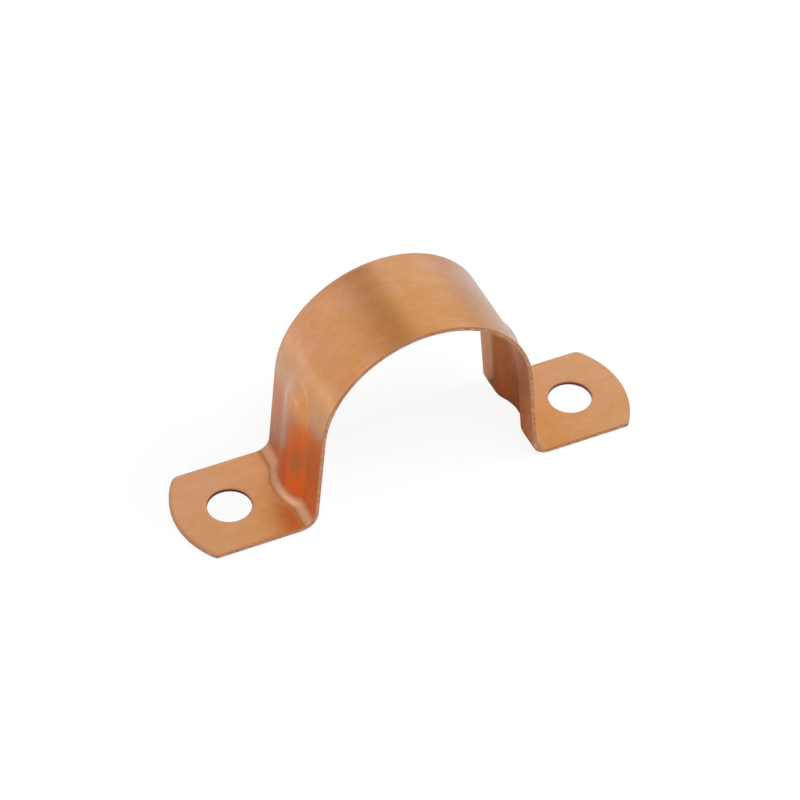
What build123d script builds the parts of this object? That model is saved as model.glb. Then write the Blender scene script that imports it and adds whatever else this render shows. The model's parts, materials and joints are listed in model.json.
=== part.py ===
"""Saddle clip for a 22 mm copper pipe: one strip of copper, pressed and folded in one piece.

The strip runs from a flat foot, up a splayed leg, over the half-round arch that holds the pipe, and down to
the other foot. Each leg carries an upright rib that is pressed outwards and runs into the foot bend.
The origin is on the wall, midway between the screw holes: +X runs from hole to hole, +Y along the pipe and
+Z away from the wall.
"""

import os
from math import cos, radians, sin, tan

from build123d import *

# Driving dimensions, in millimetres and degrees
PIPE_DIAMETER = 22.0
PIPE_CLEARANCE = 0.2  # between the pipe and the arch, on the radius
PIPE_NIP = 0.35  # how much lower the inside of the clip is than the pipe, so that it grips
STRIP_WIDTH = 12.0
THICKNESS = 0.45
LEG_SPLAY = 5.0  # how far each leg leans out from upright
BEND_RADIUS = 1.5  # on the upper side of the bend between leg and foot
HOLE_DIAMETER = 4.6
LEG_TO_HOLE = 6.7  # along the wall, from a leg's outer face to the hole's centre
HOLE_TO_END = 5.9  # from a hole's centre to the tip of its foot
END_BULGE = 2.1  # how far the curved end of a foot stands out from its two corners
FRONT_CORNER_RADIUS = 0.4  # at the corners of the feet on the -Y side
REAR_CORNER_RADIUS = 1.1  # at those on the +Y side
RIB_WIDTH = 6.8
RIB_HEIGHT = 1.0
RIB_ROOT_RADIUS = 1.2  # on the outer face
RIB_TOP = 3.2  # on the line of the leg, how far the rib reaches above the end of the arch
RIB_END_RADIUS = 3.0  # of the rounded edge at the rib's top, on the outer face

# Sizes worked out from the driving ones
ARCH_RADIUS = PIPE_DIAMETER / 2 + PIPE_CLEARANCE  # on the inner face
ARCH_CENTRE = PIPE_DIAMETER - PIPE_NIP - ARCH_RADIUS
SPLAY = radians(LEG_SPLAY)
LEG_AT_WALL = (ARCH_RADIUS + THICKNESS + ARCH_CENTRE * sin(SPLAY)) / cos(SPLAY)  # outer face, from the middle
HOLE_SPACING = 2 * (LEG_AT_WALL + LEG_TO_HOLE)
OVERALL_LENGTH = HOLE_SPACING + 2 * HOLE_TO_END
OVERALL_HEIGHT = ARCH_CENTRE + ARCH_RADIUS + THICKNESS
# Across the rib, each flank is a hollow root arc that runs into the round crest.
RIB_RADII = (RIB_WIDTH**2 / 4 + RIB_HEIGHT**2) / (2 * RIB_HEIGHT)  # root and crest together
RIB_CREST_RADIUS = RIB_RADII - RIB_ROOT_RADIUS  # on the outer face
RIB_AXIS = ARCH_RADIUS + THICKNESS + RIB_HEIGHT - RIB_CREST_RADIUS  # from the arch's axis
RIB_X = RIB_AXIS * cos(SPLAY) - RIB_TOP * sin(SPLAY)
RIB_Z = ARCH_CENTRE + RIB_AXIS * sin(SPLAY) + RIB_TOP * cos(SPLAY)
MARGIN = 2.0  # by which the formers stand out beyond the strip
RIB_BAR_LENGTH = RIB_Z + MARGIN / 2  # down into the slab under the feet


def rib_bar(depth):
    """A round bar that hangs down from the origin, with a rounded top edge, and lies that deep all round."""
    with BuildPart() as bar:
        with Locations((0, 0, -depth)):
            Cylinder(RIB_CREST_RADIUS - depth, RIB_BAR_LENGTH, align=(Align.CENTER, Align.CENTER, Align.MAX))
        fillet(bar.edges().group_by(Axis.Z)[-1], RIB_END_RADIUS - depth)
    return bar.part


def former(skin):
    """The solid under one face of the strip: skin is THICKNESS for the outer face and 0 for the inner face."""
    depth = THICKNESS - skin  # of this face below the outer one
    width = STRIP_WIDTH + 2 * MARGIN
    with BuildPart() as form:
        # Arch and legs, still without ribs
        with BuildSketch(Plane.XZ):
            with BuildLine():
                arch = CenterArc((0, ARCH_CENTRE), ARCH_RADIUS + skin, LEG_SPLAY, 180 - 2 * LEG_SPLAY)
                leg_height = (arch @ 0).Y + MARGIN
                right_leg = Line(arch @ 0, arch @ 0 + Vector(leg_height * tan(SPLAY), -leg_height))
                left_leg = mirror(right_leg, about=Plane.YZ)
                Line(right_leg @ 1, left_leg @ 1)
            make_face()
        extrude(amount=width / 2, both=True)
        # Slab under the feet, and the bends up to the legs
        with BuildSketch(Plane.XY.offset(skin)):
            Rectangle(OVERALL_LENGTH + 2 * MARGIN, width)
        extrude(amount=-skin - MARGIN)
        bends = form.edges().filter_by(Axis.Y).filter_by(Edge.is_interior).group_by(Axis.Z)[0]
        fillet(bends, BEND_RADIUS + depth)
        # A bar sunk in each leg makes the rib, and blends into the leg, the arch and the bend
        with Locations(
            Location((RIB_X, 0, RIB_Z), (0, -LEG_SPLAY, 180)),
            Location((-RIB_X, 0, RIB_Z), (0, LEG_SPLAY, 0)),
        ):
            add(rib_bar(depth))
        fillet(form.edges(Select.NEW), RIB_ROOT_RADIUS + depth)
    return form.part


with BuildPart() as clip_strap:
    add(former(THICKNESS))
    add(former(0), mode=Mode.SUBTRACT)
    # Outline of the strip from above, with a shallow curve at the end of each foot
    with BuildSketch() as outline:
        with BuildLine():
            corner_x = OVERALL_LENGTH / 2 - END_BULGE
            right_end = ThreePointArc(
                (corner_x, -STRIP_WIDTH / 2), (OVERALL_LENGTH / 2, 0), (corner_x, STRIP_WIDTH / 2)
            )
            left_end = mirror(right_end, about=Plane.YZ)
            Line(right_end @ 0, left_end @ 0)
            Line(right_end @ 1, left_end @ 1)
        make_face()
        fillet(outline.vertices().group_by(Axis.Y)[0], FRONT_CORNER_RADIUS)
        fillet(outline.vertices().group_by(Axis.Y)[-1], REAR_CORNER_RADIUS)
    extrude(amount=OVERALL_HEIGHT + MARGIN, mode=Mode.INTERSECT)
    # Screw holes
    with BuildSketch():
        with GridLocations(HOLE_SPACING, 0, 2, 1):
            Circle(HOLE_DIAMETER / 2)
    extrude(amount=THICKNESS, mode=Mode.SUBTRACT)

clip_strap.part.label = "clip_strap"

os.makedirs("parts", exist_ok=True)
export_step(clip_strap.part, "parts/clip_strap.step")
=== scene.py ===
# %% [markdown]
# # A saddle clip for copper pipe
# The object is one narrow strip of copper. A press cuts it out flat, bends it over a round former, folds
# out two feet and pushes a rib into each leg, so that the leg stays stiff when the feet are screwed down.
# This lesson takes the same road: it cuts a flat blank, presses it with Geometry Nodes, and then gives it
# the finishes that the real strip has: a lacquered rolled face, a bare inner face and a sheared edge.

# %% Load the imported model
import json
from math import acos, cos, hypot, pi, radians, sin, sqrt, tan

import bmesh
import bpy
import numpy as np
from mathutils import Matrix, Vector


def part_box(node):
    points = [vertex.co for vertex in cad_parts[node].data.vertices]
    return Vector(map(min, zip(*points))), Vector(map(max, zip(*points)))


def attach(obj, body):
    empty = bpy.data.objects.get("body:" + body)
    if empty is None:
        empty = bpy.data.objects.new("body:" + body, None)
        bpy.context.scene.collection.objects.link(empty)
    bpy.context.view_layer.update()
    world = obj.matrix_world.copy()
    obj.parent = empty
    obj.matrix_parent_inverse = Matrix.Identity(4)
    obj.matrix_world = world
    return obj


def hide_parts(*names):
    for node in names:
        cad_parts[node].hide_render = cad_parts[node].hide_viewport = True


MM = 0.001  # Blender works in metres
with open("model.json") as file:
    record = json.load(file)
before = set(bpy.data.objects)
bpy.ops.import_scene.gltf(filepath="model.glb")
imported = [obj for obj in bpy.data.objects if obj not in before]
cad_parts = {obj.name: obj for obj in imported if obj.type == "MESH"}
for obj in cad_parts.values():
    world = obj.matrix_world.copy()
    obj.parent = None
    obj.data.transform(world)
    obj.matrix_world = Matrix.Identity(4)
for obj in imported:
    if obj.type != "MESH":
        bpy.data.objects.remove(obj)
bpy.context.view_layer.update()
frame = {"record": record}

# %% [markdown]
# ## Sizes
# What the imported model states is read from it: the seat for the pipe, the screw holes and the overall box
# give the arch, the strip's width and its thickness. The smaller sizes, such as the bend and the rib, are
# written here in millimetres. They are the solid's own, apart from the top of the rib, which runs out more
# softly here, as it does on the real clip.

# %% Read the main sizes, and name the small ones
low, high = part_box("clip_strap")
mounts = {mount["name"]: mount for mount in frame["record"]["mounts"]}
SEAT_RADIUS = mounts["pipe_seat"]["dims"]["r_mm"] * MM
SEAT_HEIGHT = mounts["pipe_seat"]["pos_m"][2]
HOLE_RADIUS = mounts["screw_holes"]["dims"]["hole_r_mm"] * MM
HOLE_X = mounts["screw_holes"]["dims"]["spacing_x_mm"] * MM / 2
HALF_WIDTH = (high.y - low.y) / 2
THICKNESS = high.z - SEAT_HEIGHT - SEAT_RADIUS

LEG_SPLAY = radians(5.0)
BEND_RADIUS = 1.5 * MM  # on the upper side, between leg and foot
HOLE_TO_END = 5.9 * MM
END_BULGE = 2.1 * MM  # how far the curved end stands out from its two corners
FRONT_CORNER_RADIUS = 0.4 * MM
REAR_CORNER_RADIUS = 1.1 * MM
RIB_HALF_WIDTH = 3.4 * MM
RIB_HEIGHT = 1.0 * MM
RIB_ROOT_RADIUS = 1.2 * MM  # on the outer face
RIB_TOP = 4.2 * MM  # on the line of the leg, how far the rib reaches above the end of the arch
RIB_END_RADIUS = 5.0 * MM  # of the rounded edge at the rib's top, on the outer face
RIM_RADIUS = 0.09 * MM  # the worn roundness of a sheared edge
print(f"strip {2 * HALF_WIDTH / MM:.2f} mm wide and {THICKNESS / MM:.2f} mm thick")
print(f"holes {2 * HOLE_X / MM:.3f} mm apart, pipe seat of radius {SEAT_RADIUS / MM:.2f} mm")

# %% [markdown]
# ## The strip laid out flat
# To cut a blank that folds to the right size, each bend is unrolled along the middle of the sheet, halfway
# through its thickness, where a bend neither stretches nor squeezes the metal. From the middle of the arch
# outwards come a piece of the arch, a straight leg, a bend and a foot.

# %% Unroll the arch, leg, bend and foot
ARCH_RADIUS = SEAT_RADIUS + THICKNESS / 2
FOLD_RADIUS = BEND_RADIUS + THICKNESS / 2
TURN = pi / 2 - LEG_SPLAY  # what the arch turns on each side, and each foot bend turns back
FOLD_REACH = FOLD_RADIUS * tan(TURN / 2)  # from the corner of a bend to where its arc starts
corner_x = (ARCH_RADIUS + (SEAT_HEIGHT - THICKNESS / 2) * sin(LEG_SPLAY)) / cos(LEG_SPLAY)
apex_z = SEAT_HEIGHT + ARCH_RADIUS / sin(LEG_SPLAY)
tip_x = HOLE_X + HOLE_TO_END
arch_end = ARCH_RADIUS * TURN
leg_length = (SEAT_HEIGHT + ARCH_RADIUS * sin(LEG_SPLAY) - THICKNESS / 2) / cos(LEG_SPLAY) - FOLD_REACH
leg_end = arch_end + leg_length
bend_end = leg_end + FOLD_RADIUS * TURN
unrolled = bend_end - corner_x - FOLD_REACH  # added to a place on the foot, gives the place on the blank
print(f"blank {2 * (tip_x + unrolled) / MM:.2f} mm long, legs {leg_length / MM:.2f} mm")

# %% [markdown]
# ## The blank
# A grid of quads follows the strip through arch, legs and bends. Around each screw hole the quads run in
# rings from the foot's outline in to the hole, because a hole cut into a plain grid by a boolean leaves
# slivers that spoil the reflections. Close to every cut edge the rows stand closer together, to carry its
# rounding.

# %% Describe the outline of a foot
END_RADIUS = (HALF_WIDTH**2 + END_BULGE**2) / (2 * END_BULGE)
end_centre = tip_x + unrolled - END_RADIUS
hole_centre = HOLE_X + unrolled


def rounding(radius):
    """The centre of a corner's rounding, and the lean at which it runs into the curved end."""
    y = HALF_WIDTH - radius
    x = end_centre + sqrt((END_RADIUS - radius) ** 2 - y**2)
    return x, y, acos((x - end_centre) / (END_RADIUS - radius))


def bore_distance(x, y):
    """How far a point of the blank lies from the centre of the hole on its side."""
    return hypot(abs(x) - hole_centre, y)


def rim_distance(x, y):
    """How far a point of the blank lies from the nearest cut edge."""
    to_hole = bore_distance(x, y) - HOLE_RADIUS
    radius = REAR_CORNER_RADIUS if y > 0 else FRONT_CORNER_RADIUS
    round_x, round_y, round_lean = rounding(radius)
    x, y = abs(x), abs(y)
    edge = min(HALF_WIDTH - y, END_RADIUS - hypot(max(x - end_centre, 0), y))
    lean = np.arctan2(y - round_y, x - round_x)
    if x > round_x and y > round_y and round_lean <= lean:
        edge = radius - hypot(x - round_x, y - round_y)
    return max(0.0, min(edge, to_hole))


print(f"end of a foot: radius {END_RADIUS / MM:.2f} mm")

# %% Rows of points along and across the strip
GRID_STEP = 0.3 * MM
RIM_ROWS = 4
FOOT_START = bend_end + 0.5 * MM  # where the grid ends and the rings start
rim_rows = [RIM_RADIUS * (1 - cos(pi / 2 * k / RIM_ROWS)) for k in range(RIM_ROWS + 1)]


def steps(start, end, size):
    """Even steps from start to end, each no longer than size, without the last."""
    return list(np.linspace(start, end, int(np.ceil(abs(end - start) / size)) + 1))[:-1]


def rows_along():
    """Places along the strip, from the rings of one foot to those of the other."""
    stops = [0, arch_end, leg_end, bend_end, FOOT_START]
    half = [x for a, b in zip(stops, stops[1:]) for x in steps(a, b, GRID_STEP)] + [FOOT_START]
    return [-x for x in reversed(half[1:])] + half


def rows_across():
    """Places across the strip, from one edge to the other."""
    inner = HALF_WIDTH - RIM_RADIUS
    near = [-HALF_WIDTH + d for d in rim_rows]
    return near + steps(-inner, inner, GRID_STEP)[1:] + [-y for y in reversed(near)]


print(f"rows: {len(rows_along())} along the strip, {len(rows_across())} across it")

# %% Rings of points around a hole
CORNER_STEPS = 8
RING_STEPS = 11


def half_outline(radius):
    """The foot's cut outline on one side, with that corner radius, from the first ring to the tip."""
    round_x, round_y, round_lean = rounding(radius)
    side = [(x, HALF_WIDTH) for x in steps(FOOT_START, round_x, GRID_STEP)]
    turn = np.linspace(pi / 2, round_lean, CORNER_STEPS + 1)
    corner = [(round_x + radius * cos(a), round_y + radius * sin(a)) for a in turn]
    sweep = steps(round_lean, 0, GRID_STEP / END_RADIUS)[1:]
    return side + corner + [(end_centre + END_RADIUS * cos(a), END_RADIUS * sin(a)) for a in sweep]


def foot_rings(across):
    """Rings of points from the outline of the foot at +X in to its hole."""
    rear = half_outline(REAR_CORNER_RADIUS)
    front = [(x, -y) for x, y in reversed(half_outline(FRONT_CORNER_RADIUS))]
    outline = rear + [(tip_x + unrolled, 0.0)] + front + [(FOOT_START, y) for y in across[1:-1]]
    outer = np.array(outline)
    ray = np.array([hole_centre, 0]) - outer
    reach = np.linalg.norm(ray, axis=1, keepdims=True) - HOLE_RADIUS
    ray /= np.linalg.norm(ray, axis=1, keepdims=True)
    middle = np.linspace(0, 1, RING_STEPS + 1)[1:-1]
    depths = [d + 0 * reach for d in rim_rows]
    depths += [RIM_RADIUS + (reach - 2 * RIM_RADIUS) * share for share in middle]
    depths += [reach - d for d in reversed(rim_rows)]
    return [outer + ray * depth for depth in depths]


print(f"rings: {len(foot_rings(rows_across()))} from the outline of a foot in to its hole")

# %% Cut the blank
WELD_DISTANCE = 0.001 * MM


def quads(rows, columns, first, closed):
    """Quads between rows of points, which are numbered row by row from first on."""
    faces = []
    for row in range(rows - 1):
        for column in range(columns if closed else columns - 1):
            a = first + row * columns + column
            b = first + row * columns + (column + 1) % columns
            faces.append((a, a + columns, b + columns, b))
    return faces


def cut_blank():
    """The flat blank as a mesh in the XY plane, its length along X."""
    along, across = rows_along(), rows_across()
    points = [(x, y, 0) for x in along for y in across]
    faces = quads(len(along), len(across), 0, closed=False)
    rings = foot_rings(across)
    for side in (1, -1):
        foot = quads(len(rings), len(rings[0]), len(points), closed=True)
        points += [(side * x, y, 0) for ring in rings for x, y in ring]
        faces += [quad[::side] for quad in foot]
    mesh = bpy.data.meshes.new("clip_blank")
    mesh.from_pydata(points, [], faces)
    weld = bmesh.new()
    weld.from_mesh(mesh)
    bmesh.ops.remove_doubles(weld, verts=weld.verts, dist=WELD_DISTANCE)
    weld.to_mesh(mesh)
    weld.free()
    return mesh


blank = cut_blank()
print(f"blank: {len(blank.vertices)} points, {len(blank.polygons)} quads")

# %% Mark the blank


def mark_blank(mesh):
    """Keeps on the blank what the press and the finishes need: edge distances and a flat map, in metres."""
    for name, measure in {"rim": rim_distance, "bore": bore_distance}.items():
        mark = mesh.attributes.new(name, "FLOAT", "POINT")
        mark.data.foreach_set("value", [measure(v.co.x, v.co.y) for v in mesh.vertices])
    flat = mesh.uv_layers.new(name="strip")
    for loop in mesh.loops:
        flat.data[loop.index].uv = mesh.vertices[loop.vertex_index].co.xy


mark_blank(blank)
print("blank carries:", [name for name in ("rim", "bore", "strip") if name in blank.attributes])

# %% [markdown]
# ## One helper for every node
# The press and the finishes are node trees. They could be drawn by hand in Blender's editor, but a script
# can be read and run again. One small function adds a node, sets what it is told, links the sockets that
# it is given, and returns the output that the next node needs.

# %% Add a node


def add(tree, kind, inputs=None, out=0, **settings):
    """A new node with its settings, and its inputs linked or set. Returns the output that out names."""
    node = tree.nodes.new(kind)
    for name, value in settings.items():
        setattr(node, name, value)
    for key, value in (inputs or {}).items():
        if isinstance(value, bpy.types.NodeSocket):
            tree.links.new(value, node.inputs[key])
        else:
            node.inputs[key].default_value = value
    return node.outputs[out] if node.outputs else node


print("helper: add(tree, kind, inputs, out, settings)")

# %% [markdown]
# ## The press
# A plane could be bent with modifiers and its ribs shaped by hand, but the strip follows a rule, so a
# Geometry Nodes tree presses it. The middle line of the clip is a wire of five points, tip, corner, apex,
# corner, tip, and three fillets turn it into feet, bends, legs and arch: the legs lean in so little that
# they meet far above, and the fillet there is the arch itself.
# Each point of the blank is carried to its place on that wire. Then the rib pushes part of each leg
# outwards, the sheet gets its thickness on both sides of the middle, and the cut edges are rounded.

# %% Work out how the rib meets the leg and the bend
RIB_RADII = (RIB_HALF_WIDTH**2 + RIB_HEIGHT**2) / (2 * RIB_HEIGHT)  # root and crest together
RIB_ROOT = RIB_ROOT_RADIUS + THICKNESS / 2
RIB_CREST = RIB_RADII - RIB_ROOT
ROOT_BLEND = 0.38 * MM  # of height, over which the flank runs into the leg, for about the root radius
END_BLEND = 0.8 * MM  # the same at the rib's top, which runs out more softly
FOLD_GAIN = (FOLD_RADIUS - RIB_ROOT) / RIB_HEIGHT  # how much the bend tightens for each unit of rib
RIB_SLIDE = (1 - FOLD_GAIN) / cos(LEG_SPLAY) + FOLD_GAIN * tan(LEG_SPLAY)  # along the wall, for each unit
LEG_SLIDE = RIB_SLIDE * sin(LEG_SPLAY) + FOLD_GAIN * cos(LEG_SPLAY)  # the same shift, down the leg
print(f"for each mm of rib the bend tightens by {FOLD_GAIN:.2f} mm and slides {RIB_SLIDE:.2f} mm")

# %% Start the tree, with a named input for each size
press = bpy.data.node_groups.new("press_the_strip", "GeometryNodeTree")
press.interface.new_socket("Blank", in_out="INPUT", socket_type="NodeSocketGeometry")
press.interface.new_socket("Clip", in_out="OUTPUT", socket_type="NodeSocketGeometry")
sizes = {
    "Apex": (0, 0, apex_z),
    "Bend corner": (corner_x, 0, THICKNESS / 2),
    "Tip": (tip_x, 0, THICKNESS / 2),
    "Arch radius": ARCH_RADIUS,
    "Bend radius": FOLD_RADIUS,
    "Arch end": arch_end,
    "Leg end": leg_end,
    "Bend end": bend_end,
    "Thickness": THICKNESS,
    "Rim radius": RIM_RADIUS,
    "Rib top": RIB_TOP - THICKNESS / 2,
    "Rib end radius": RIB_END_RADIUS - THICKNESS / 2,
    "Rib height": RIB_HEIGHT,
    "Rib crest radius": RIB_CREST,
    "Rib root blend": ROOT_BLEND,
    "Rib end blend": END_BLEND,
    "Rib slide": RIB_SLIDE,
    "Leg slide": LEG_SLIDE,
    "Bend tightening": FOLD_GAIN,
}
for name, value in sizes.items():
    kind = "NodeSocketVector" if isinstance(value, tuple) else "NodeSocketFloat"
    press.interface.new_socket(name, in_out="INPUT", socket_type=kind)
for name in ("Outer face", "Inner face", "Cut edge"):
    press.interface.new_socket(name, in_out="INPUT", socket_type="NodeSocketMaterial")
given = press.nodes.new("NodeGroupInput").outputs
print(f"press: {len(sizes)} sizes")

# %% Bend the wire
WIRE_POINTS = 5
ARC_STEPS = 160
number = add(press, "GeometryNodeInputIndex")
place = add(press, "ShaderNodeMath", {0: number, 1: WIRE_POINTS // 2}, operation="SUBTRACT")
rank = add(press, "ShaderNodeMath", {0: place}, operation="ABSOLUTE")
wire_side = add(press, "ShaderNodeMath", {0: place}, operation="SIGN")
spot = add(press, "GeometryNodeIndexSwitch", data_type="VECTOR").node
spot.index_switch_items.new()
press.links.new(rank, spot.inputs["Index"])
for item, name in enumerate(("Apex", "Bend corner", "Tip"), start=1):
    press.links.new(given[name], spot.inputs[item])
mirrored = add(press, "ShaderNodeCombineXYZ", {"X": wire_side, "Y": 1, "Z": 1})
corner = add(press, "ShaderNodeVectorMath", {0: spot.outputs[0], 1: mirrored}, operation="MULTIPLY")
line = add(press, "GeometryNodeMeshLine", {"Count": WIRE_POINTS})
line = add(press, "GeometryNodeSetPosition", {"Geometry": line, "Position": corner})
line = add(press, "GeometryNodeMeshToCurve", {"Mesh": line})
inputs = {"Switch": rank, "False": given["Arch radius"], "True": given["Bend radius"]}
fillet = add(press, "GeometryNodeSwitch", inputs, input_type="FLOAT")
inputs = {"Curve": line, "Count": ARC_STEPS, "Radius": fillet, "Limit Radius": False}
wire = add(press, "GeometryNodeFilletCurve", inputs, mode="POLY")
print(f"wire: {WIRE_POINTS} points, and {ARC_STEPS} steps in each fillet")

# %% Carry the blank to the wire
flat_place = add(press, "GeometryNodeInputPosition")
x = add(press, "ShaderNodeSeparateXYZ", {0: flat_place}, out="X")
y = x.node.outputs["Y"]
far = add(press, "ShaderNodeMath", {0: x}, operation="ABSOLUTE")
side = add(press, "ShaderNodeMath", {0: x}, operation="SIGN")
whole = add(press, "GeometryNodeCurveLength", {0: wire})
travel = add(press, "ShaderNodeMath", {0: whole, 1: 0.5, 2: x}, operation="MULTIPLY_ADD")
inputs = {"Curves": wire, "Length": travel}
on_wire = add(press, "GeometryNodeSampleCurve", inputs, out="Position", mode="LENGTH")
ahead = on_wire.node.outputs["Tangent"]
outwards = add(press, "ShaderNodeVectorMath", {0: ahead, 1: (0, 1, 0)}, operation="CROSS_PRODUCT")
towards_foot = add(press, "ShaderNodeVectorMath", {0: ahead, "Scale": side}, operation="SCALE")
aside = add(press, "ShaderNodeCombineXYZ", {"Y": y})
folded = add(press, "ShaderNodeVectorMath", {0: on_wire, 1: aside}, operation="ADD")
print(f"press: {len(press.nodes)} nodes fold the blank")

# %% [markdown]
# ## The rib
# The rib is a round bar sunk in the leg, with a rounded top edge, as it is on the press tool. It could be a
# second mesh joined by a boolean, but then the sheet wouldn't keep its even thickness. So it is worked out
# as a height over the leg, which falls off as an arc to both sides and as a smaller arc at the top, and a
# smooth maximum with the leg makes the hollow root all round. Above the leg the arch curves away from the
# straight bar, and there the root gets wider, so that the rib's top runs out into the arch with no edge.
# Where the rib meets the foot, the bend gets tighter by the rib's height, as it does round a press tool.

# %% Work out the height of the rib


def arc_depth(radius, distance):
    """How far an arc of that radius has fallen from its top at that distance from its middle."""
    square = add(press, "ShaderNodeMath", {0: radius, 1: 2}, operation="POWER")
    reach = add(press, "ShaderNodeMath", {0: distance, 1: 2}, operation="POWER")
    left = add(press, "ShaderNodeMath", {0: square, 1: reach}, operation="SUBTRACT")
    height = add(press, "ShaderNodeMath", {0: left}, operation="SQRT")
    return add(press, "ShaderNodeMath", {0: radius, 1: height}, operation="SUBTRACT")


rib_top, rib_end = given["Rib top"], given["Rib end radius"]
above = add(press, "ShaderNodeMath", {0: given["Arch end"], 1: far}, operation="SUBTRACT")
above = add(press, "ShaderNodeMath", {0: above, 1: rib_top}, operation="MINIMUM")
over_arch = add(press, "ShaderNodeMath", {0: above, 1: 0}, operation="MAXIMUM")
straight = add(press, "ShaderNodeMath", {0: rib_top, 1: rib_end}, operation="SUBTRACT")
into_end = add(press, "ShaderNodeMath", {0: above, 1: straight}, operation="SUBTRACT")
into_end = add(press, "ShaderNodeMath", {0: into_end, 1: 0}, operation="MAXIMUM")
end_fall = arc_depth(rib_end, into_end)
inputs = {0: given["Rib crest radius"], 1: end_fall}
round_there = add(press, "ShaderNodeMath", inputs, operation="SUBTRACT")
side_fall = arc_depth(round_there, y)
arch_fall = arc_depth(given["Arch radius"], over_arch)
crest = add(press, "ShaderNodeMath", {0: given["Rib height"], 1: end_fall}, operation="SUBTRACT")
crest = add(press, "ShaderNodeMath", {0: crest, 1: side_fall}, operation="SUBTRACT")
crest = add(press, "ShaderNodeMath", {0: crest, 1: arch_fall}, operation="ADD")
inputs = {
    "Value": over_arch,
    "From Max": rib_top,
    "To Min": given["Rib root blend"],
    "To Max": given["Rib end blend"],
}
blend = add(press, "ShaderNodeMapRange", inputs)
rise = add(press, "ShaderNodeMath", {0: crest, 1: 0, 2: blend}, operation="SMOOTH_MAX")
print(f"rib: {RIB_HEIGHT / MM:.1f} mm high, crest of radius {RIB_CREST / MM:.2f} mm")

# %% Push the rib out of the leg and through the bend
FADE_LENGTH = 2.2 * MM  # along the foot, over which the pushed metal evens out
inputs = {
    "Value": far,
    "From Min": given["Arch end"],
    "From Max": given["Leg end"],
    "To Max": given["Leg slide"],
}
slide = add(press, "ShaderNodeMapRange", inputs)
down_leg = add(press, "ShaderNodeVectorMath", {0: towards_foot, "Scale": slide}, operation="SCALE")
on_leg = add(press, "ShaderNodeVectorMath", {0: outwards, 1: down_leg}, operation="ADD")
reach_x = add(press, "ShaderNodeMath", {0: given["Rib slide"], 1: side}, operation="MULTIPLY")
drop_z = add(press, "ShaderNodeMath", {0: given["Bend tightening"], 1: -1}, operation="MULTIPLY")
fold_shift = add(press, "ShaderNodeCombineXYZ", {"X": reach_x, "Z": drop_z})
inputs = {0: outwards, "Scale": given["Bend tightening"]}
tighter = add(press, "ShaderNodeVectorMath", inputs, operation="SCALE")
on_bend = add(press, "ShaderNodeVectorMath", {0: fold_shift, 1: tighter}, operation="ADD")
fade_end = add(press, "ShaderNodeMath", {0: given["Bend end"], 1: FADE_LENGTH}, operation="ADD")
inputs = {"Value": far, "From Min": given["Bend end"], "From Max": fade_end, "To Min": 1, "To Max": 0}
fade = add(press, "ShaderNodeMapRange", inputs, interpolation_type="SMOOTHSTEP")
on_bend = add(press, "ShaderNodeVectorMath", {0: on_bend, "Scale": fade}, operation="SCALE")
past_leg = add(press, "ShaderNodeMath", {0: far, 1: given["Leg end"]}, operation="GREATER_THAN")
inputs = {"Switch": past_leg, "False": on_leg, "True": on_bend}
push = add(press, "GeometryNodeSwitch", inputs, input_type="VECTOR")
push = add(press, "ShaderNodeVectorMath", {0: push, "Scale": rise}, operation="SCALE")
inputs = {"Geometry": given["Blank"], "Position": folded, "Offset": push}
sheet = add(press, "GeometryNodeSetPosition", inputs)
print(f"press: {len(press.nodes)} nodes fold the blank and push its ribs")

# %% [markdown]
# ## The sheet's two faces and its edge
# So far the sheet has no thickness. A Solidify modifier could give it one, but with square edges, and the
# real strip's are a little worn. Here each point moves along its normal to both sides, by half the
# thickness, and by less close to a cut edge. The extrusion also says which faces are on top and which are
# cut, so that each of the three gets its own finish.

# %% Give the sheet its thickness and round its cut edges
rim = add(press, "GeometryNodeInputNamedAttribute", {"Name": "rim"}, data_type="FLOAT")
into_rim = add(press, "ShaderNodeMath", {0: given["Rim radius"], 1: rim}, operation="SUBTRACT")
into_rim = add(press, "ShaderNodeMath", {0: into_rim, 1: 0}, operation="MAXIMUM")
worn = arc_depth(given["Rim radius"], into_rim)
half_sheet = add(press, "ShaderNodeMath", {0: given["Thickness"], 1: 0.5}, operation="MULTIPLY")
half_sheet = add(press, "ShaderNodeMath", {0: half_sheet, 1: worn}, operation="SUBTRACT")
facing = add(press, "GeometryNodeInputNormal")
to_face = add(press, "ShaderNodeVectorMath", {0: facing, "Scale": half_sheet}, operation="SCALE")
inputs = {"Geometry": sheet, "Name": "to_face", "Value": to_face}
sheet = add(press, "GeometryNodeStoreNamedAttribute", inputs, data_type="FLOAT_VECTOR", domain="POINT")
lift = add(press, "GeometryNodeInputNamedAttribute", {"Name": "to_face"}, data_type="FLOAT_VECTOR")
sink = add(press, "ShaderNodeVectorMath", {0: lift, "Scale": -1}, operation="SCALE")
inputs = {"Mesh": sheet, "Offset Scale": 0, "Individual": False}
upper = add(press, "GeometryNodeExtrudeMesh", inputs, mode="FACES")
is_top, is_cut = upper.node.outputs["Top"], upper.node.outputs["Side"]
inputs = {"Switch": is_top, "False": sink, "True": lift}
shift = add(press, "GeometryNodeSwitch", inputs, input_type="VECTOR")
upper = add(press, "GeometryNodeSetPosition", {"Geometry": upper, "Offset": shift})
under = add(press, "GeometryNodeSetPosition", {"Geometry": sheet, "Offset": sink})
under = add(press, "GeometryNodeFlipFaces", {"Mesh": under})
print(f"sheet {THICKNESS / MM:.2f} mm thick, its edges rounded by {RIM_RADIUS / MM:.2f} mm")

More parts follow.
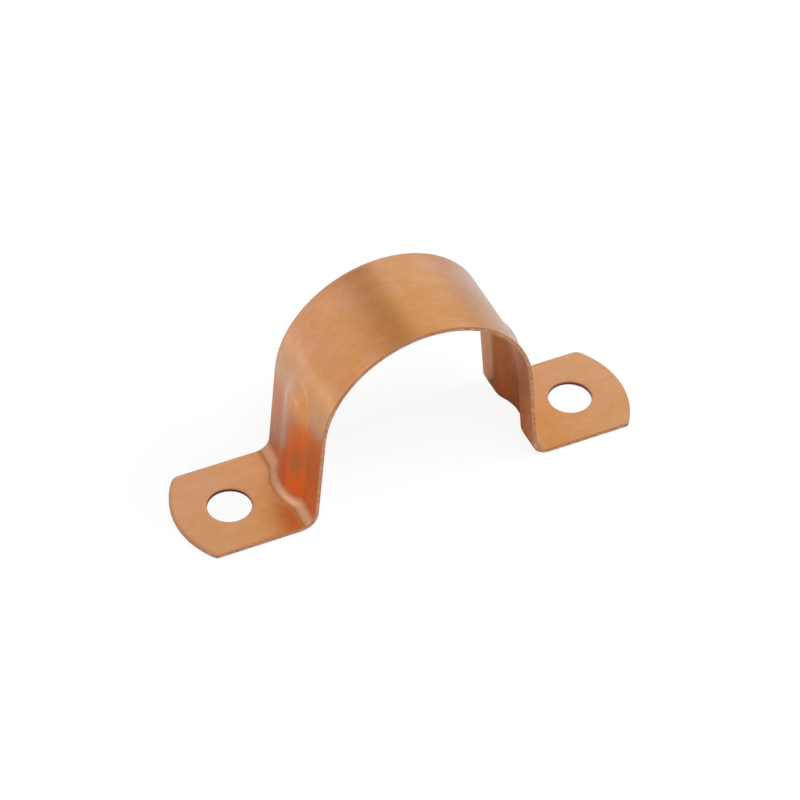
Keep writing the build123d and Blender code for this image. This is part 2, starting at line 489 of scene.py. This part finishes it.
# %% Join the faces, and give each its finish
SEAM_DISTANCE = 0.0002 * MM  # within it, points of the two faces and the edge are one
clip = add(press, "GeometryNodeJoinGeometry", {"Geometry": upper})
press.links.new(under, clip.node.inputs["Geometry"])
clip = add(press, "GeometryNodeMergeByDistance", {"Geometry": clip, "Distance": SEAM_DISTANCE})
clip = add(press, "GeometryNodeRemoveAttribute", {"Geometry": clip, "Name": "to_face"})
clip = add(press, "GeometryNodeSetShadeSmooth", {"Geometry": clip, "Shade Smooth": True})
clip = add(press, "GeometryNodeRealizeInstances", {"Geometry": clip})
clip = add(press, "GeometryNodeSetMaterial", {"Geometry": clip, "Material": given["Inner face"]})
for part, name in ((is_top, "Outer face"), (is_cut, "Cut edge")):
    inputs = {"Geometry": clip, "Selection": part, "Material": given[name]}
    clip = add(press, "GeometryNodeSetMaterial", inputs)
add(press, "NodeGroupOutput", {"Clip": clip})
print(f"press: {len(press.nodes)} nodes in all")

# %% [markdown]
# ## Colours
# A colour is easiest to pick and to compare as the sRGB hex value that a screen shows. Blender mixes light
# in linear values, so one function turns the one into the other.

# %% Colours from sRGB hex
PAINTED_REFLECTION_ORANGE = "#E37F2A"  # painted reflection: the orange of the foot, as the legs mirror it


def srgb(code):
    """A colour written as sRGB hex, turned to the linear values that Blender mixes."""
    parts = [int(code[i : i + 2], 16) / 255 for i in (1, 3, 5)]
    return tuple(c / 12.92 if c <= 0.04045 else ((c + 0.055) / 1.055) ** 2.4 for c in parts) + (1.0,)


print("rubbed copper, linear:", [round(c, 3) for c in srgb(PAINTED_REFLECTION_ORANGE)])

# %% [markdown]
# ## Rolled copper
# The faces of the strip came from a rolling mill. Copper is a metal, so all its colour is in what it
# reflects. Rolling leaves fine lines along the strip, which spread a reflection across them and show as
# faint streaks. A clear lacquer keeps the outer face from tarnishing, and it looks pale where it is seen at
# a low angle. The inner face has none, so it stays darker and redder, and its legs carry some of the painted
# orange reflection too. A yellower front half, soft clouds and a fine mottle break up the colour.
# A noise on plain Object coordinates would run straight through the bends. The blank's own flat map, in
# metres, carries these patterns round them without stretching.

# %% Patterns that follow the rolling
FINE_LINE = (9.0 * MM, 0.2 * MM)  # length and width; real rolling lines are finer than the render can show
BROAD_LINE = (16.0 * MM, 0.8 * MM)
CLOUD = (3.2 * MM, 2.2 * MM)
MOTTLE = (1.1 * MM, 0.6 * MM)
PATTERN_DETAIL = 3.0  # how many layers of finer grains lie in the main ones
PATTERN_ROUGHNESS = 0.55  # how strong those finer grains are


def strip_place(tree):
    """Where a point lies on the flat strip: along it from the middle, and across it."""
    flat = add(tree, "ShaderNodeUVMap", uv_map="strip")
    along = add(tree, "ShaderNodeSeparateXYZ", {0: flat}, out="X")
    return along, along.node.outputs["Y"]


def strip_pattern(tree, size, detail=PATTERN_DETAIL):
    """Noise on the flat strip whose grains are about that long and wide."""
    length, width = size
    flat = add(tree, "ShaderNodeUVMap", uv_map="strip")
    spot = add(tree, "ShaderNodeMapping", {"Vector": flat, "Scale": (1 / length, 1 / width, 1)})
    inputs = {"Vector": spot, "Scale": 1.0, "Detail": detail, "Roughness": PATTERN_ROUGHNESS}
    return add(tree, "ShaderNodeTexNoise", inputs, noise_dimensions="2D")


print(f"rolled lines drawn {FINE_LINE[1] / MM:.1f} mm and {BROAD_LINE[1] / MM:.1f} mm wide")

# %% Yellower front and clouds
YELLOW_FULL, YELLOW_GONE = -1.5 * MM, 3.5 * MM  # across the strip, where the yellower front gives way to the pinker rear
SIDE_SHARE = 0.5  # of the change in colour, and the clouds make the rest
CLOUD_SPAN = (0.35, 0.65)  # of the noise, from clear to the middle of a cloud
# A Mix node for colours takes its share at socket 0 and its colours at 6 and 7, and gives the result at 2
COLOUR_MIX = {"out": 2, "data_type": "RGBA"}


def front_rear_colour(tree, across, yellower, pinker):
    """The rolled metal before the press: yellower at the front, pinker at the rear and in the clouds."""
    inputs = {"Value": across, "From Min": YELLOW_FULL, "From Max": YELLOW_GONE, "To Max": SIDE_SHARE}
    towards_rear = add(tree, "ShaderNodeMapRange", inputs, interpolation_type="SMOOTHSTEP")
    cloud = strip_pattern(tree, CLOUD)
    clear, full = CLOUD_SPAN
    inputs = {"Value": cloud, "From Min": clear, "From Max": full, "To Max": 1 - SIDE_SHARE}
    cloudy = add(tree, "ShaderNodeMapRange", inputs)
    pink = add(tree, "ShaderNodeMath", {0: towards_rear, 1: cloudy}, operation="ADD")
    inputs = {0: pink, 6: srgb(yellower), 7: srgb(pinker)}
    return add(tree, "ShaderNodeMix", inputs, **COLOUR_MIX)


# prints the width over which the yellower front gives way
print(f"film thins out over {(YELLOW_GONE - YELLOW_FULL) / MM:.1f} mm of the width")

# %% [markdown]
# ## Painted marks on the rolled metal
# On the rolled metal lie painted marks, most of them painted light. The legs are painted redder, a painted
# reflection of the orange foot, with a little of it on the foot by the bend, and their lacquer is thinner
# there. The bends are painted pinker, a painted highlight for the pale band they mirror, and the ends of the
# feet are pinker. One bend has a thin brown line, painted shade in its crease. They could be painted on the
# mesh by hand, but each lies at a known place along the strip, so each is a share between 0 and 1 that is
# worked out from the flat map and fades in and out softly.

# %% Zones along the strip
ORANGE_START = 1.8 * MM  # above the leg's upper end, where the painted orange reflection starts
ORANGE_FADE = 4.5 * MM  # from there down to where the leg is painted orange all over
ORANGE_TAIL = 7.0 * MM  # along the foot, over which the last of the painted orange reflection ends
TAIL_SHARE = 0.25
BEND_INSET = 0.45 * MM  # from each end of a bend, to where its painted pinker highlight starts
FOOT_FADE = 8.0 * MM  # along the foot, over which it gets pinker
FOOT_SHARE = 0.4
CREASE_HALF_WIDTH = 0.16 * MM  # half the width of the painted crease shade along the bend
bend_top = leg_end + BEND_INSET
bend_foot = bend_end - BEND_INSET


def press_zones(tree, far, orange_share):
    """How much of each zone along the strip a point is in, by its distance from the middle."""
    orange_top = arch_end - ORANGE_START
    spans = {
        "leg": (orange_top, orange_top + ORANGE_FADE, orange_share),
        "above bend": (bend_top + CREASE_HALF_WIDTH, bend_top - CREASE_HALF_WIDTH, 1.0),
        "before foot": (bend_foot + CREASE_HALF_WIDTH, bend_foot - CREASE_HALF_WIDTH, 1.0),
        "foot": (bend_end, bend_end + FOOT_FADE, FOOT_SHARE),
        "tail": (bend_end + ORANGE_TAIL, bend_end, TAIL_SHARE),
    }
    zones = {}
    for name, (start, full, most) in spans.items():
        inputs = {"Value": far, "From Min": start, "From Max": full, "To Max": most}
        zones[name] = add(tree, "ShaderNodeMapRange", inputs, interpolation_type="SMOOTHSTEP")
    return zones


print(f"bend coloured from {bend_top / MM:.2f} to {bend_foot / MM:.2f} mm along the strip")

# %% Painted orange reflection, painted bend highlight and painted crease shade
STREAK_LEAST = 0.78  # between the broad streaks the painted orange is this strong
CREASE_SHADE_SHARE = 0.28
NOISE_SPAN = {"From Min": 0.3, "From Max": 0.7}  # most of a noise lies between these


def leg_orange_and_wear(tree, zones, broad):
    """How much painted orange reflection a point gets: in streaks down the leg, and a little on the foot."""
    inputs = {"Value": broad, **NOISE_SPAN, "To Min": STREAK_LEAST, "To Max": 1.0}
    streaked = add(tree, "ShaderNodeMapRange", inputs)
    streaked = add(tree, "ShaderNodeMath", {0: streaked, 1: zones["above bend"]}, operation="MULTIPLY")
    orange_and_wear = add(tree, "ShaderNodeMath", {0: streaked, 1: zones["tail"]}, operation="MAXIMUM")
    return add(tree, "ShaderNodeMath", {0: orange_and_wear, 1: zones["leg"]}, operation="MULTIPLY")


def press_bend(tree, zones):
    """How much a point is on the bend: past the leg and before the foot."""
    past_leg = add(tree, "ShaderNodeMath", {0: 1, 1: zones["above bend"]}, operation="SUBTRACT")
    return add(tree, "ShaderNodeMath", {0: past_leg, 1: zones["before foot"]}, operation="MULTIPLY")


def crease_shade(tree, along):
    """How dark the painted crease shade is, at the lower end of the bend at -X."""
    away = add(tree, "ShaderNodeMath", {0: along, 1: bend_foot}, operation="ADD")
    away = add(tree, "ShaderNodeMath", {0: away}, operation="ABSOLUTE")
    inputs = {"Value": away, "From Min": CREASE_HALF_WIDTH, "From Max": 0, "To Max": CREASE_SHADE_SHARE}
    return add(tree, "ShaderNodeMapRange", inputs, interpolation_type="SMOOTHSTEP")


# the width printed here is that of the painted crease shade
print(f"tool's mark {2 * CREASE_HALF_WIDTH / MM:.2f} mm wide")

# %% [markdown]
# ## The rolled faces
# Both faces are one kind of metal, so one function makes both finishes, with more or less painted orange and
# lacquer. It starts from a colour that is yellower at the front, lays the painted marks over it, then the
# fine lines and the mottle, and last the darker brown along the cut edges. The lines also tilt the surface a
# little and spread its reflections, which a colour alone can't do.

# %% Lines, mottle and a darker brown rim over the colour
LINE_SHADE = {"To Min": 0.97, "To Max": 1.03}  # how the fine lines darken and lighten the colour
MOTTLE_SHADE = {"To Min": 0.965, "To Max": 1.035}
RIM_BROWN = "#B98262"
RIM_DARK_REACH = 0.11 * MM  # how far the darker brown reaches in from a cut edge


def face_detail(tree, colour, fine):
    """The colour with the fine lines and a mottle over it, and darker brown along the cut edges."""
    mottle = strip_pattern(tree, MOTTLE)
    for noise, levels in ((fine, LINE_SHADE), (mottle, MOTTLE_SHADE)):
        shade = add(tree, "ShaderNodeMapRange", {"Value": noise, **NOISE_SPAN, **levels})
        inputs = {0: 1.0, 6: colour, 7: shade}
        colour = add(tree, "ShaderNodeMix", inputs, **COLOUR_MIX, blend_type="MULTIPLY")
    rim = add(tree, "ShaderNodeAttribute", out="Fac", attribute_name="rim")
    inputs = {"Value": rim, "From Max": RIM_DARK_REACH, "To Min": 1.0, "To Max": 0.0}
    rim_dark = add(tree, "ShaderNodeMapRange", inputs)
    inputs = {0: rim_dark, 6: colour, 7: srgb(RIM_BROWN)}
    return add(tree, "ShaderNodeMix", inputs, **COLOUR_MIX)


# prints how far the darker brown reaches in from a cut edge
print(f"oxide reaches {RIM_DARK_REACH / MM:.2f} mm in from a cut edge")

# %% Rolled copper face
FOOT_PINK = "#E4A580"
# painted highlight: the bend's pinker colour stands in for the pale band of light that it mirrors
PAINTED_BEND_SHEEN = "#DA996B"
# painted shade: a thin dark line in the crease where the bend meets the foot
CREASE_SHADE_BROWN = "#8F5A38"
BROAD_DETAIL = 2.0
SATIN = {"To Min": 0.31, "To Max": 0.37}  # roughness, between a mirror and a matt face
LINE_DEPTH = 0.003 * MM
LINE_STRENGTH = 0.25
SPREAD = 0.6  # of a reflection by the lines, from none at 0
ACROSS_LINES = 0.25  # of a turn, from along the strip to across it
LACQUER_ROUGHNESS = 0.22
WORN_LACQUER = 0.7  # what is left of the lacquer where the legs are painted orange


def copper(name):
    """A new metal, with its tree and its shader."""
    material = bpy.data.materials.new(name)
    material.use_nodes = True
    shader = material.node_tree.nodes["Principled BSDF"]
    shader.inputs["Metallic"].default_value = 1.0
    return material, material.node_tree, shader


def rolled_copper(name, yellower, pinker, orange_share, lacquer):
    """A rolled face: satin, fine lines along it that catch the light, and a painted orange reflection on the
    legs.
    """
    material, tree, shader = copper(name)
    shader.inputs["Anisotropic"].default_value = SPREAD
    shader.inputs["Anisotropic Rotation"].default_value = ACROSS_LINES
    shader.inputs["Coat Roughness"].default_value = LACQUER_ROUGHNESS
    lengthwise = add(tree, "ShaderNodeTangent", direction_type="UV_MAP", uv_map="strip")
    fine = strip_pattern(tree, FINE_LINE)
    broad = strip_pattern(tree, BROAD_LINE, BROAD_DETAIL)
    along, across = strip_place(tree)
    far = add(tree, "ShaderNodeMath", {0: along}, operation="ABSOLUTE")
    zones = press_zones(tree, far, orange_share)
    orange_and_wear = leg_orange_and_wear(tree, zones, broad)
    if lacquer:
        inputs = {"Value": orange_and_wear, "To Min": lacquer, "To Max": WORN_LACQUER * lacquer}
        worn = add(tree, "ShaderNodeMapRange", inputs)
        tree.links.new(worn, shader.inputs["Coat Weight"])
    colour = front_rear_colour(tree, across, yellower, pinker)
    # painted light: the orange on legs and foot is a painted reflection, the pinker bend a painted
    # highlight, the brown line painted crease shade
    tints = (
        (orange_and_wear, PAINTED_REFLECTION_ORANGE),
        (zones["foot"], FOOT_PINK),
        (press_bend(tree, zones), PAINTED_BEND_SHEEN),
        (crease_shade(tree, along), CREASE_SHADE_BROWN),
    )
    for share, tint in tints:
        inputs = {0: share, 6: colour, 7: srgb(tint)}
        colour = add(tree, "ShaderNodeMix", inputs, **COLOUR_MIX)
    colour = face_detail(tree, colour, fine)
    satin = add(tree, "ShaderNodeMapRange", {"Value": broad, **NOISE_SPAN, **SATIN})
    inputs = {"Height": fine, "Strength": LINE_STRENGTH, "Distance": LINE_DEPTH}
    lines = add(tree, "ShaderNodeBump", inputs)
    tree.links.new(lengthwise, shader.inputs["Tangent"])
    tree.links.new(colour, shader.inputs["Base Color"])
    tree.links.new(satin, shader.inputs["Roughness"])
    tree.links.new(lines, shader.inputs["Normal"])
    return material


print(f"rolled copper: roughness {SATIN['To Min']} to {SATIN['To Max']}")

# %% Make both rolled faces
OUTER_YELLOW = "#DF9850"
OUTER_PINK = "#E6A677"
INNER_YELLOW = "#E8A268"
INNER_PINK = "#EDAB7C"
finishes = {
    "Outer face": rolled_copper("copper_rolled_face", OUTER_YELLOW, OUTER_PINK, orange_share=1.0, lacquer=1.0),
    "Inner face": rolled_copper("copper_rolled_inside", INNER_YELLOW, INNER_PINK, orange_share=0.4, lacquer=0.0),
}
print("rolled faces:", {name: len(finish.node_tree.nodes) for name, finish in finishes.items()}, "nodes")

# %% [markdown]
# ## Sheared copper
# The shears and the punch part the metal, and leave an edge that is partly cut smooth and partly torn. On
# the real strip it is bare, paler than the lacquered face and finely broken up. In the holes it is painted
# dark brown, painted shade that stands in for the dark floor that the hole walls mirror. The flat map has no
# width on the edge, so its grain is a noise on Object coordinates, and the distance from a hole's centre,
# kept on each point, says what lies in a hole.

# %% Sheared edge
TORN_GRAIN = 0.45 * MM  # coarser than the real one, which wouldn't show in the render
TORN_SPAN = {"From Min": 0.35, "From Max": 0.65}  # of the noise, from torn to smooth
TORN_BROWN = "#C08260"
SMOOTH_PINK = "#E0AA88"
# painted shade in the punched holes, standing in for the dark floor that their walls mirror
HOLE_SHADE_BROWN = "#7A4630"
EDGE_ROUGHNESS = 0.36
IN_HOLE = 1.1 * HOLE_RADIUS  # a point of the edge that is nearer than this to a hole's centre is in it


def sheared_copper():
    """The cut edge: bare, paler than the face, torn a little, and painted dark in the holes as painted
    shade.
    """
    material, tree, shader = copper("copper_sheared_edge")
    shader.inputs["Roughness"].default_value = EDGE_ROUGHNESS
    place = add(tree, "ShaderNodeTexCoord", out="Object")
    inputs = {"Vector": place, "Scale": 1 / TORN_GRAIN, "Detail": PATTERN_DETAIL}
    grain = add(tree, "ShaderNodeTexNoise", inputs)
    torn = add(tree, "ShaderNodeMapRange", {"Value": grain, **TORN_SPAN})
    inputs = {0: torn, 6: srgb(TORN_BROWN), 7: srgb(SMOOTH_PINK)}
    colour = add(tree, "ShaderNodeMix", inputs, **COLOUR_MIX)
    bore = add(tree, "ShaderNodeAttribute", out="Fac", attribute_name="bore")
    in_hole = add(tree, "ShaderNodeMath", {0: bore, 1: IN_HOLE}, operation="LESS_THAN")
    inputs = {0: in_hole, 6: colour, 7: srgb(HOLE_SHADE_BROWN)}
    colour = add(tree, "ShaderNodeMix", inputs, **COLOUR_MIX)
    tree.links.new(colour, shader.inputs["Base Color"])
    return material


finishes["Cut edge"] = sheared_copper()
print("finishes:", [finish.name for finish in finishes.values()])

# %% [markdown]
# ## Pressing the clip
# The modifier could stay live on the blank, but a plain mesh is what other programs read. So the press runs
# once, with every size and finish set on its inputs, and only its result is kept. The pressed clip stands
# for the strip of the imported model, in the same place.

# %% Press the clip


def press_clip(mesh):
    """Runs the press on the blank and keeps the result as a plain mesh."""
    blank_piece = bpy.data.objects.new("clip_blank", mesh)
    bpy.context.scene.collection.objects.link(blank_piece)
    tool = blank_piece.modifiers.new("press", "NODES")
    tool.node_group = press
    sockets = [item for item in press.interface.items_tree if item.in_out == "INPUT"]
    named = {item.name: item.identifier for item in sockets}
    for name, value in (sizes | finishes).items():
        tool[named[name]] = value
    graph = bpy.context.evaluated_depsgraph_get()
    pressed = bpy.data.meshes.new_from_object(blank_piece.evaluated_get(graph))
    bpy.data.objects.remove(blank_piece)
    pressed.name = "copper_clip"
    piece = bpy.data.objects.new("copper_clip", pressed)
    bpy.context.scene.collection.objects.link(piece)
    return piece


clip_piece = press_clip(blank)
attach(clip_piece, "root")
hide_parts("clip_strap")
print(f"clip: {len(clip_piece.data.vertices)} points, {len(clip_piece.data.polygons)} faces")

# %% [markdown]
# ## Studio floor
# Metal shows its surroundings, so the studio is part of the finish. The clip stands on a pale board. The
# board gets brighter to the left, with a pool of light on it that the top of the rib mirrors. A lamp could
# make that pool, but it would change the shadow as well, so the board glows a little there, for
# reflections alone. The camera sees it as white, with the clip's shadow on it.

# %% Pale board
BOARD_PALE = "#E6E6E6"
BOARD_SEEN = "#616161"  # to the camera, which gets most of the board's white from a glow
WHITE_SEEN = 0.905  # that glow's strength
DIM_X, BRIGHT_X = 20 * MM, -150 * MM  # between these the board gets brighter, towards the side glow
SLOPE_STRENGTH = 0.25
POOL = Vector((-106, 56, 0)) * MM
POOL_RADIUS = 36 * MM
POOL_STRENGTH = 1.8


def pale_board():
    """Pale matt board. The camera sees it as white, with the clip's soft shadow on it."""
    material = bpy.data.materials.new("floor_pale_board")
    material.use_nodes = True
    tree = material.node_tree
    tree.nodes.clear()
    seen = add(tree, "ShaderNodeLightPath", out="Is Camera Ray")
    shiny, clear = seen.node.outputs["Is Glossy Ray"], seen.node.outputs["Is Transmission Ray"]
    mirrored = add(tree, "ShaderNodeMath", {0: shiny, 1: clear}, operation="MAXIMUM")
    inputs = {0: seen, 6: srgb(BOARD_PALE), 7: srgb(BOARD_SEEN)}
    paint = add(tree, "ShaderNodeMix", inputs, **COLOUR_MIX)
    board = add(tree, "ShaderNodeBsdfDiffuse", {"Color": paint})
    place = add(tree, "ShaderNodeTexCoord", out="Object")
    across = add(tree, "ShaderNodeSeparateXYZ", {0: place}, out="X")
    inputs = {"Value": across, "From Min": DIM_X, "From Max": BRIGHT_X, "To Max": SLOPE_STRENGTH}
    brighter = add(tree, "ShaderNodeMapRange", inputs)
    away = add(tree, "ShaderNodeVectorMath", {0: place, 1: POOL}, out="Value", operation="DISTANCE")
    inputs = {"Value": away, "From Min": POOL_RADIUS, "From Max": 0, "To Max": POOL_STRENGTH}
    pool = add(tree, "ShaderNodeMapRange", inputs, interpolation_type="SMOOTHSTEP")
    share = add(tree, "ShaderNodeMath", {0: brighter, 1: pool}, operation="ADD")
    share = add(tree, "ShaderNodeMath", {0: mirrored, 1: share}, operation="MULTIPLY")
    share = add(tree, "ShaderNodeMath", {0: seen, 1: WHITE_SEEN, 2: share}, operation="MULTIPLY_ADD")
    white = add(tree, "ShaderNodeEmission", {"Strength": share})
    both = add(tree, "ShaderNodeAddShader", {0: board, 1: white})
    add(tree, "ShaderNodeOutputMaterial", {"Surface": both})
    return material


board = pale_board()
print("board:", board.name)

# %% Floor
FLOOR_GAP = 0.01 * MM  # under the feet
FLOOR_REACH = 300 * MM  # from the middle to each side
floor_z = low.z - FLOOR_GAP
square = ((-1, -1), (1, -1), (1, 1), (-1, 1))
floor_mesh = bpy.data.meshes.new("floor")
corners = [(x * FLOOR_REACH, y * FLOOR_REACH, floor_z) for x, y in square]
floor_mesh.from_pydata(corners, [], [(0, 1, 2, 3)])
floor_mesh.materials.append(board)
floor = bpy.data.objects.new("floor", floor_mesh)
bpy.context.scene.collection.objects.link(floor)
print(f"floor at z {floor_z / MM:.3f} mm")

# %% [markdown]
# ## Light tent
# Small metal things are photographed in a tent of white cloth, so that they mirror soft light all round.
# Here the world is the tent, slightly warm. It glows on the right and on the left, and is darker at the top
# behind the clip, where its two sides meet: that shows as the soft band over the arch. Cloth built as a mesh
# would do the same, but a world is simpler and casts no shadow. The camera sees it as white, and matt
# surfaces get a plain, low light from it.

# %% Glows and gap of the tent


def direction(azimuth, elevation):
    """A unit vector, from degrees: azimuth runs from +Y towards +X, elevation up from the floor."""
    a, e = radians(azimuth), radians(elevation)
    return Vector((sin(a) * cos(e), cos(a) * cos(e), sin(e)))


# Of each soft round patch: its middle, its edge and core in degrees from there, and its linear light level
patches = {
    "right glow": (direction(38, 36), 40, 8, (0.9, 0.905, 0.81, 1)),
    "left glow": (direction(-74, 40), 27, 10, (1.25, 1.25, 1.25, 1)),
    "low glow": (direction(-62, 10), 22, 4, (0.9, 0.81, 0.8, 1)),
    "gap": (direction(-5, 50), 17, 1, (0.46, 0.365, 0.245, 1)),
}
print("tent:", list(patches))

# %% Light tent
AMBIENT = (0.2, 0.2, 0.2, 1)  # linear light levels, as above
CLOTH = (0.7, 0.667, 0.672, 1)
WHITE = (1, 1, 1, 1)
world = bpy.data.worlds.new("light_tent")
bpy.context.scene.world = world
world.use_nodes = True
tent = world.node_tree
tent.nodes.clear()
place = add(tent, "ShaderNodeTexCoord", out="Generated")
cloth = CLOTH
for towards, edge, core, level in patches.values():
    inputs = {0: place, 1: towards}
    facing = add(tent, "ShaderNodeVectorMath", inputs, out="Value", operation="DOT_PRODUCT")
    inputs = {"Value": facing, "From Min": cos(radians(edge)), "From Max": cos(radians(core))}
    inside = add(tent, "ShaderNodeMapRange", inputs, interpolation_type="SMOOTHSTEP")
    cloth = add(tent, "ShaderNodeMix", {0: inside, 6: cloth, 7: level}, **COLOUR_MIX)
seen = add(tent, "ShaderNodeLightPath", out="Is Camera Ray")
shiny, clear = seen.node.outputs["Is Glossy Ray"], seen.node.outputs["Is Transmission Ray"]
mirrored = add(tent, "ShaderNodeMath", {0: shiny, 1: clear}, operation="MAXIMUM")
shown = add(tent, "ShaderNodeMix", {0: mirrored, 6: AMBIENT, 7: cloth}, **COLOUR_MIX)
shown = add(tent, "ShaderNodeMix", {0: seen, 6: shown, 7: WHITE}, **COLOUR_MIX)
light = add(tent, "ShaderNodeBackground", {"Color": shown})
add(tent, "ShaderNodeOutputWorld", {"Surface": light})
print(f"tent: {len(tent.nodes)} nodes")

# %% [markdown]
# ## Soft lamps
# In the tent alone the clip would hardly cast a shadow. Two large lamps, one from the front and one from
# the right, light the board and give the soft shadow at the feet. The metal doesn't mirror them, because it
# shows the tent already.

# %% Soft lamps
LAMP_DISTANCE = 1500 * MM
LAMP_WIDTH = 600 * MM


def soft_lamp(name, azimuth, elevation, watts):
    """A square area lamp that looks at the clip from that side, lights the board and isn't mirrored."""
    lamp = bpy.data.lights.new(name, "AREA")
    lamp.size = LAMP_WIDTH
    lamp.energy = watts
    holder = bpy.data.objects.new(name, lamp)
    away = direction(azimuth, elevation)
    holder.rotation_mode = "QUATERNION"
    holder.rotation_quaternion = away.to_track_quat("Z", "Y")
    holder.location = away * LAMP_DISTANCE
    holder.visible_glossy = False
    bpy.context.scene.collection.objects.link(holder)


soft_lamp("lamp_front", azimuth=170, elevation=66, watts=8.0)
soft_lamp("lamp_right", azimuth=105, elevation=46, watts=12.0)

# %% [markdown]
# ## Camera
# The view is from the front, a little to the left and well above the clip, through a long lens. The values
# were fitted to the clip's outlines: the corners and holes of the feet, and the edges of the arch. The
# camera is turned about a point on the floor, so that each of its angles can be changed by itself.

# %% Camera
VIEW_AZIMUTH = radians(24.973)
VIEW_ELEVATION = radians(44.405)
VIEW_ROLL = radians(0.702)
VIEW_AIM = Vector((2.992, 7.252, 0)) * MM
VIEW_DISTANCE = 328.18 * MM
VIEW_LENS = 140.46  # millimetres, on Blender's 36 mm sensor
NEAR_LIMIT = 10 * MM  # nothing nearer than this is drawn
camera_data = bpy.data.cameras.new("camera")
camera_data.lens = VIEW_LENS
camera_data.clip_start = NEAR_LIMIT
camera = bpy.data.objects.new("camera", camera_data)
bpy.context.scene.collection.objects.link(camera)
turn = Matrix.Rotation(-VIEW_AZIMUTH, 4, "Z") @ Matrix.Rotation(pi / 2 - VIEW_ELEVATION, 4, "X")
turn = turn @ Matrix.Rotation(VIEW_ROLL, 4, "Z")
camera.matrix_world = Matrix.Translation(VIEW_AIM) @ turn @ Matrix.Translation((0, 0, VIEW_DISTANCE))
bpy.context.scene.camera = camera
bpy.context.scene.view_settings.view_transform = "Standard"
print("camera at", [round(c / MM, 1) for c in camera.matrix_world.translation], "mm")
